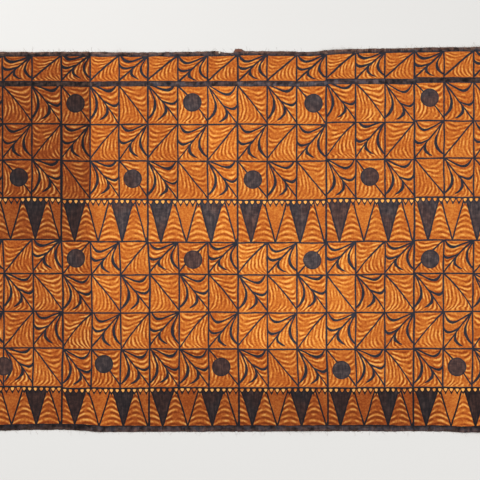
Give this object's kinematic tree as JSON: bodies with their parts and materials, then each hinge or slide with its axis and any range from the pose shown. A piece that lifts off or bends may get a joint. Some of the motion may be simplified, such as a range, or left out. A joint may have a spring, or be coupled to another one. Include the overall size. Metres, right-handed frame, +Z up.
{
  "type": "tapa bark cloth",
  "caption": "Flat bark cloth with hand trimmed edges, rubbed and painted with a grid of leaf arcs, discs and rows of triangles.",
  "frame": {"origin": "on the surface under the middle of the cloth's outline", "axes": "+X along the cloth's length, +Y towards the upper edge of the design, +Z up out of the painted face"},
  "size_m": [2, 1.418, 0.0079],
  "materials": {
    "bark_cloth": "matt beaten bark, rubbed orange and painted brown black"
  },
  "bodies": {
    "root": {"bark_cloth": "bark_cloth"}
  },
  "joints": []
}
